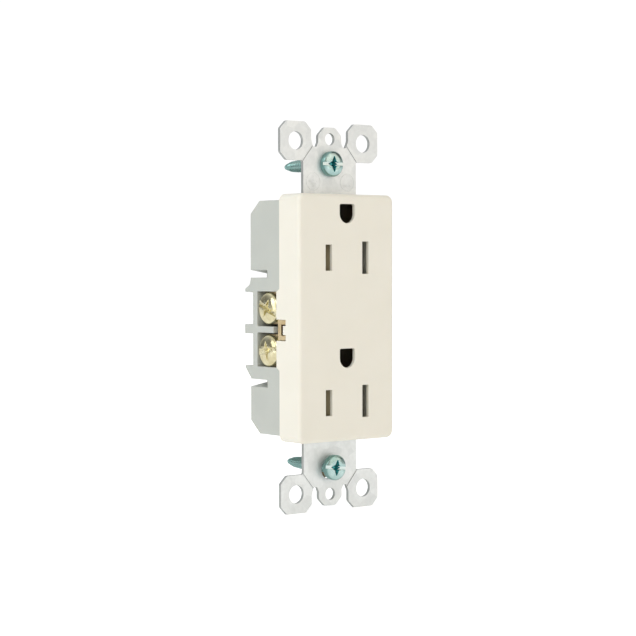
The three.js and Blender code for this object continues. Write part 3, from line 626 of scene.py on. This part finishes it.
def score_line(side, end, front):
    """A tool that scores the line along which an ear breaks off."""
    reach, half = SCORE["half_length"], SCORE["half_width"]
    groove = prism(rectangle((-reach, reach), (-half, half)), "y", (front - PAST, front + SCORE["depth"]))
    foot_x, foot_z = SCORE["foot"]
    run_x, run_z = STRAP["half"] - foot_x, SCORE["top"] - foot_z
    middle = Vector((side * (STRAP["half"] + foot_x) / 2, 0, end * (SCORE["top"] + foot_z) / 2))
    turn = Matrix.Rotation(math.atan2(-end * run_z, side * run_x), 4, "Y")
    groove.data.transform(Matrix.Translation(middle) @ turn)
    return groove


def strap_end(end, front, back):
    plate = prism(strap_outline(end), "y", (front, back))
    through = (front - PAST, back + PAST)
    tools = [prism(circle(side * STRAP["ear_x"], end * STRAP["ear_z"], STRAP["hole"]), "y", through)
             for side in (-1, 1)]
    tools.append(prism(circle(0, end * TAB["z"], TAB["hole"], 48), "y", through))
    x, z, r = SCREW_SLOT["half_x"], end * SCREW_SLOT["z"], SCREW_SLOT["half_z"]
    tools.append(prism(rectangle((-x, x), (z - r, z + r), r * 0.99, 16), "y", through))
    tools += [score_line(side, end, front) for side in (-1, 1)]
    return cut(plate, *tools)


STAMP = 0.07  # depth of the stamped marks
LINE = 0.14  # half their width
EARTH = {"x": -5.9, "z": 36.8, "radius": 2.35, "stem": 1.6}
EARTH_BARS = ((0.0, 1.35), (-0.62, 0.85), (-1.24, 0.35))  # height and half length of each
PLAIN_BAR = (-0.9, 1.2)  # the same for the bar on the other side


def stamped_ring(x, z, radius, front):
    """A tool that stamps a thin ring."""
    ring = prism(circle(x, z, radius + LINE, 48), "y", (front - PAST, front + STAMP))
    return cut(ring, prism(circle(x, z, radius - LINE, 48), "y", (front - 2 * PAST, front + PAST)))


def stamped_bar(x, z, half, front):
    return box((x - half, x + half), (front - PAST, front + STAMP), (z - LINE, z + LINE))


def earth_marks(front):
    """The general earth sign in a ring, and a plain ring with a bar on the other side."""
    x, z, radius = EARTH["x"], EARTH["z"], EARTH["radius"]
    stem = box((x - LINE, x + LINE), (front - PAST, front + STAMP), (z, z + EARTH["stem"]))
    bars = [stamped_bar(x, z + level, half, front) for level, half in EARTH_BARS]
    level, half = PLAIN_BAR
    plain = [stamped_ring(-x, z, radius, front), stamped_bar(-x, z + level, half, front)]
    return [stamped_ring(x, z, radius, front), stem] + bars + plain


def strap():
    low, _ = node_box("mounting_strap")
    front, back = low.y, low.y + STRAP["thick"]
    middle = copy_of("mounting_strap")
    everywhere, kept = (-FAR, FAR), WITHIN + OVERLAP
    cut(middle, *[box(everywhere, everywhere, beyond) for beyond in ((kept, FAR), (-FAR, -kept))])
    whole = join(middle, strap_end(1, front, back), strap_end(-1, front, back))
    cut(whole, *earth_marks(front))
    bevel(whole, 0.09, segments=2)
    stand_in("strap", whole, "mounting_strap")


strap()


# ---- Screws ----------------------------------------------------------------------------------

PITCH = 25.4 / 32
THREAD = {"groove": 0.24, "slope": 1.35, "start": 0.35}  # its depth is a share of the shank's radius
UNDERHEAD = {"rim": 0.12, "fillet": 0.25}
DOME_STEPS = 8
# the slot, and the cross below it, whose depths and reach are shares of the head's
RECESS = {"slot_depth": 0.36, "reach": 0.63, "tip": 0.14, "waist": 0.72, "depth": 0.8, "taper": 0.3}


def end_width(left, tip):
    """How wide the shank still is, as a share, with that much length left."""
    steps = [(0.0, 0.05), (0.15, 0.45), (0.55, 0.86), (1.0, 1.0)]
    share = min(left / tip, 1.0)
    for (a, low), (b, high) in zip(steps, steps[1:]):
        if share <= b:
            return low + (high - low) * (share - a) / (b - a)
    return 1.0


def thread(shank, start, length, tip, samples=10):
    """Lathe rows of a right-hand thread that fades in at its start and narrows at its tip."""
    groove = THREAD["groove"] * shank
    count = round((length - start) / PITCH * samples)
    rows = []
    for k in range(count):
        y = start + (length - start) * k / count
        share = end_width(length - y, tip)
        fade = min((y - start) / PITCH, 1.0)

        def radius(angle, y=y, share=share, fade=fade):
            turn = (y / PITCH - angle / FULL) % 1.0
            crest = min(abs(2 * turn - 1) * THREAD["slope"], 1.0)
            return share * (shank - groove * fade * (1 - crest))

        rows.append((radius, y))
    return rows


def cross(reach, tip, waist):
    """A cross outline whose arms narrow from the waist to their tips."""
    arm = [(waist, waist), (tip, reach), (-tip, reach)]
    turns = [math.pi / 2 * quarter for quarter in range(4)]
    return [(a * math.cos(t) - b * math.sin(t), a * math.sin(t) + b * math.cos(t))
            for t in turns for a, b in arm]


def driven_head(screw, head, thick, slot_half):
    """Cuts the slot in the second material, a paler copy of the zinc as painted highlight, and below it the
    cross in the third, a darker copy as painted shade.
    """
    floor = -thick * (1 - RECESS["slot_depth"])
    slot = box((-head - PAST, head + PAST), (-thick - PAST, floor), (-slot_half, slot_half))
    outline = cross(head * RECESS["reach"], RECESS["tip"], RECESS["waist"])
    deep = prism(outline, "y", (-thick - CLOSE, -thick * (1 - RECESS["depth"])), RECESS["taper"])
    for obj, material in ((screw, ZINC), (slot, PAINTED_HIGHLIGHT_ZINC), (deep, PAINTED_SHADE_ZINC)):
        obj.data.materials.append(material)
    return cut(screw, slot, deep)


def binding_screw(head, thick, shank, length, tip, dome, flat, slot_half):
    """A screw along +Y with its head's underside at y = 0. The flat is the middle share of its top."""
    inner = head * flat
    top = [(0, -thick), (inner, -thick)]
    top += [(inner + (head - inner) * math.sin(t), -thick + dome * (1 - math.cos(t)))
            for t in (math.pi / 2 * k / DOME_STEPS for k in range(1, DOME_STEPS + 1))]
    rim, fillet = UNDERHEAD["rim"], UNDERHEAD["fillet"]
    neck = [(head, -rim), (head - rim, 0), (shank + fillet, 0), (shank, fillet)]
    screw = lathe(top + neck + thread(shank, THREAD["start"], length, tip) + [(0, length)])
    return bevel(driven_head(screw, head, thick, slot_half), 0.06, segments=2, angle=50)


MOUNT = {"head": 3.45, "thick": 2.0, "shank": 1.7, "length": 20.4, "tip": 6.4,
         "dome": 0.65, "flat": 0.45, "slot_half": 0.42}
MOUNT_LEAN = {"upper": 0.0, "lower": 0.12}  # how far each screw is turned at rest, in radians


def mounting_screw(name):
    node = f"{name}_mounting_screw"
    low, high = node_box(node)
    screw = binding_screw(**MOUNT)
    at = Vector(((low.x + high.x) / 2, high.y - MOUNT["length"], (low.z + high.z) / 2))
    screw.data.transform(Matrix.Translation(at) @ Matrix.Rotation(MOUNT_LEAN[name], 4, "Y"))
    stand_in(f"{name}_strap_screw", screw, node, PAINTED_HIGHLIGHT_ZINC, PAINTED_SHADE_ZINC)


TERMINAL = {"head": 4.3, "thick": 1.85, "shank": 2.05, "length": 4.6, "tip": 0.8,
            "dome": 1.0, "flat": 0.3, "slot_half": 0.6}
TERMINAL_LEAN = {"upper_hot": 0.45, "lower_hot": -0.17, "upper_neutral": 0.3, "lower_neutral": -0.5}


def terminal_screw(name, side):
    node = f"{name}_screw"
    low, high = node_box(node)
    screw = binding_screw(**TERMINAL)
    tip = high.x if side < 0 else low.x
    at = Vector((tip + side * TERMINAL["length"], (low.y + high.y) / 2, (low.z + high.z) / 2))
    swing = Matrix.Rotation(side * math.pi / 2, 4, "Z")
    screw.data.transform(Matrix.Translation(at) @ swing @ Matrix.Rotation(TERMINAL_LEAN[name], 4, "Y"))
    stand_in(f"{name}_binding_screw", screw, node)


for name in OUTLETS:
    mounting_screw(name)
    terminal_screw(f"{name}_hot", -1)
    terminal_screw(f"{name}_neutral", 1)


# ---- Shutter springs -------------------------------------------------------------------------

COIL = {"turns": 6, "wire": 0.17, "sides": 10, "steps": 180}


def coil_spring(name):
    """A coil along x that fills its node's box."""
    node = f"{name}_shutter_spring"
    low, high = node_box(node)
    middle = (low + high) / 2
    wire, sides, steps = COIL["wire"], COIL["sides"], COIL["steps"]
    reach = (high.x - low.x) / 2 - wire
    radius = (high.z - low.z) / 2 - wire
    verts = []
    for k in range(steps + 1):
        angle = FULL * COIL["turns"] * k / steps
        outward = Vector((0, math.cos(angle), math.sin(angle)))
        along = Vector((reach / math.pi / COIL["turns"], -radius * math.sin(angle), radius * math.cos(angle)))
        across = along.normalized().cross(outward)
        centre = middle + outward * radius + Vector((reach * (2 * k / steps - 1), 0, 0))
        verts += [centre + wire * (outward * b + across * a) for a, b in circle(0, 0, 1, sides)]
    faces = [tuple(range(sides)), tuple(range(steps * sides, (steps + 1) * sides))]
    for k in range(steps):
        for a in range(sides):
            b = (a + 1) % sides
            faces.append((k * sides + a, k * sides + b, (k + 1) * sides + b, (k + 1) * sides + a))
    spring = stand_in(f"{name}_coil_spring", mesh_object("coil", verts, faces), node)
    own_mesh(spring)


for name in OUTLETS:
    coil_spring(name)


# ---- Washers ---------------------------------------------------------------------------------

WASHER_BORE = 1.8


def fibre_washer(name):
    node = f"{name}_retaining_washer"
    low, high = node_box(node)
    x, z = (low.x + high.x) / 2, (low.z + high.z) / 2
    ring = prism(circle(x, z, (high.x - low.x) / 2), "y", (low.y, high.y))
    cut(ring, prism(circle(x, z, WASHER_BORE, 48), "y", (low.y - PAST, high.y + PAST)))
    stand_in(f"{name}_fibre_washer", bevel(ring, 0.1, segments=2), node)


for name in OUTLETS:
    fibre_washer(name)


# ---- Carried-over nodes ----------------------------------------------------------------------

# rounding in mm, where it isn't the usual; the housing's edges are rounded by its finish
USUAL_EDGE = 0.06
EDGE = {"hot_contact_bar": 0.1, "neutral_contact_bar": 0.1, "rear_body": 0}

for node, obj in NODES.items():
    if obj.hide_render:
        continue
    obj.data.materials.clear()
    obj.data.materials.append(FINISHES[SLOTS[node]])
    weld = obj.modifiers.new("weld", "WELD")
    weld.merge_threshold = SAME_POINT * MM
    width = EDGE.get(node, USUAL_EDGE)
    if not width:
        continue
    step = obj.modifiers.new("bevel", "BEVEL")
    step.width = width * MM
    step.segments = 2
    step.limit_method = "ANGLE"
    step.angle_limit = math.radians(40)


# ---- Stage, light and camera -----------------------------------------------------------------

FLOOR = {"half": 4.0, "glow": 0.2, "seen": 0.3}  # metres, its own light, and what the camera adds
# the dark cards around the object: the way to each, where its soft edge starts and ends, what it lets by
CARDS = (
    ((-0.62, 0.78, -0.1), 0.70, 0.97, 0.45),
    ((0.74, -0.40, 0.54), 0.88, 0.95, 0.18),
)
LIGHTS = (  # name, place in metres, size in metres, power in watts, colour
    ("key", (-0.9, -0.55, 0.75), 0.7, 3.0, (1, 1, 1)),
    ("side", (-1.1, 0.3, 0.25), 0.8, 2.8, (0.97, 0.98, 1.0)),
    ("fill", (0.5, -0.9, 0.3), 0.9, 1.25, (1.0, 0.92, 0.82)),
)
VIEW = {"turn": (-38.268, 1.76, -0.099), "at": (-0.30709, -0.37647, 0.01487),  # degrees, metres
        "sensor": 36, "lens": 101.98, "near": 0.01, "far": 50}  # mm, mm, metres, metres


def stage():
    low, _ = CAD_BOX
    sides = (-FLOOR["half"], FLOOR["half"])
    floor = mesh_object("floor", [(x, y, low.z) for x, y in rectangle(sides, sides)], [(0, 1, 2, 3)])
    finish = Finish("floor", (0.95, 0.95, 0.95), 0.9)
    finish.tint(finish.noise(size=400, detail=3), (0.94, 0.94, 0.935))
    finish.shader.inputs["Emission Color"].default_value = (1, 1, 1, 1)
    # the camera sees a whiter floor than the one that lights the object
    glow = finish.add("ShaderNodeMath", operation="MULTIPLY_ADD")
    finish.link(finish.add("ShaderNodeLightPath").outputs["Is Camera Ray"], glow.inputs[0])
    glow.inputs[1].default_value = FLOOR["seen"]
    glow.inputs[2].default_value = FLOOR["glow"]
    finish.link(glow.outputs[0], finish.shader.inputs["Emission Strength"])
    floor.data.materials.append(finish.done())


def surroundings():
    """White where the camera sees it. Everywhere else soft studio tones: brighter above, warmer in front,
    with a dark card behind on the left and one high in front on the right."""
    world = bpy.data.worlds.new("studio")
    bpy.context.scene.world = world
    world.use_nodes = True
    tree = world.node_tree
    tree.nodes.clear()
    link = tree.links.new
    direction = tree.nodes.new("ShaderNodeTexCoord").outputs["Generated"]

    def towards(way, start, stop, low, high):
        """A value that goes from low to high as the direction turns towards the way."""
        dot = tree.nodes.new("ShaderNodeVectorMath")
        dot.operation = "DOT_PRODUCT"
        dot.inputs[1].default_value = Vector(way).normalized()
        link(direction, dot.inputs[0])
        ramp = tree.nodes.new("ShaderNodeMapRange")
        ramp.interpolation_type = "SMOOTHSTEP"
        for label, value in zip(("From Min", "From Max", "To Min", "To Max"), (start, stop, low, high)):
            ramp.inputs[label].default_value = value
        link(dot.outputs["Value"], ramp.inputs["Value"])
        return ramp.outputs[0]

    strength = towards((0, 0, 1), start=-0.5, stop=0.8, low=0.18, high=0.83)
    for way, start, stop, share in CARDS:
        product = tree.nodes.new("ShaderNodeMath")
        product.operation = "MULTIPLY"
        link(strength, product.inputs[0])
        link(towards(way, start, stop, low=1.0, high=share), product.inputs[1])
        strength = product.outputs[0]
    color = tree.nodes.new("ShaderNodeMix")
    color.data_type = "RGBA"
    link(towards((0.2, -1, 0), start=0.0, stop=0.9, low=0.0, high=1.0), color.inputs["Factor"])
    color.inputs["A"].default_value = (0.97, 0.99, 1.0, 1)
    color.inputs["B"].default_value = (1.0, 0.93, 0.85, 1)
    studio = tree.nodes.new("ShaderNodeBackground")
    link(color.outputs["Result"], studio.inputs["Color"])
    link(strength, studio.inputs["Strength"])
    seen = tree.nodes.new("ShaderNodeBackground")
    seen.inputs["Color"].default_value = (1, 1, 1, 1)
    seen.inputs["Strength"].default_value = 1.05
    pick = tree.nodes.new("ShaderNodeMixShader")
    link(tree.nodes.new("ShaderNodeLightPath").outputs["Is Camera Ray"], pick.inputs[0])
    link(studio.outputs[0], pick.inputs[1])
    link(seen.outputs[0], pick.inputs[2])
    link(pick.outputs[0], tree.nodes.new("ShaderNodeOutputWorld").inputs["Surface"])


def soft_light(name, at, size, power, color):
    data = bpy.data.lights.new(name, "AREA")
    data.shape = "DISK"
    data.size = size
    data.energy = power
    data.color = color
    light = bpy.data.objects.new(name, data)
    light.location = at
    light.rotation_mode = "QUATERNION"
    light.rotation_quaternion = (-Vector(at)).to_track_quat("-Z", "Y")
    bpy.context.scene.collection.objects.link(light)


def camera():
    """The photograph's view: from the left, a little above, through a long lens."""
    azimuth, elevation, roll = (math.radians(a) for a in VIEW["turn"])
    back = Vector((
        math.sin(azimuth) * math.cos(elevation),
        -math.cos(azimuth) * math.cos(elevation),
        math.sin(elevation),
    ))
    data = bpy.data.cameras.new("camera")
    data.sensor_width = VIEW["sensor"]
    data.lens = VIEW["lens"]
    data.clip_start = VIEW["near"]
    data.clip_end = VIEW["far"]
    view = bpy.data.objects.new("camera", data)
    view.rotation_mode = "QUATERNION"
    view.location = VIEW["at"]
    level = (-back).to_track_quat("-Z", "Y")
    view.rotation_quaternion = level @ Matrix.Rotation(roll, 3, "Z").to_quaternion()
    bpy.context.scene.collection.objects.link(view)
    bpy.context.scene.camera = view


stage()
surroundings()
for light in LIGHTS:
    soft_light(*light)
camera()
bpy.context.scene.view_settings.view_transform = "Standard"
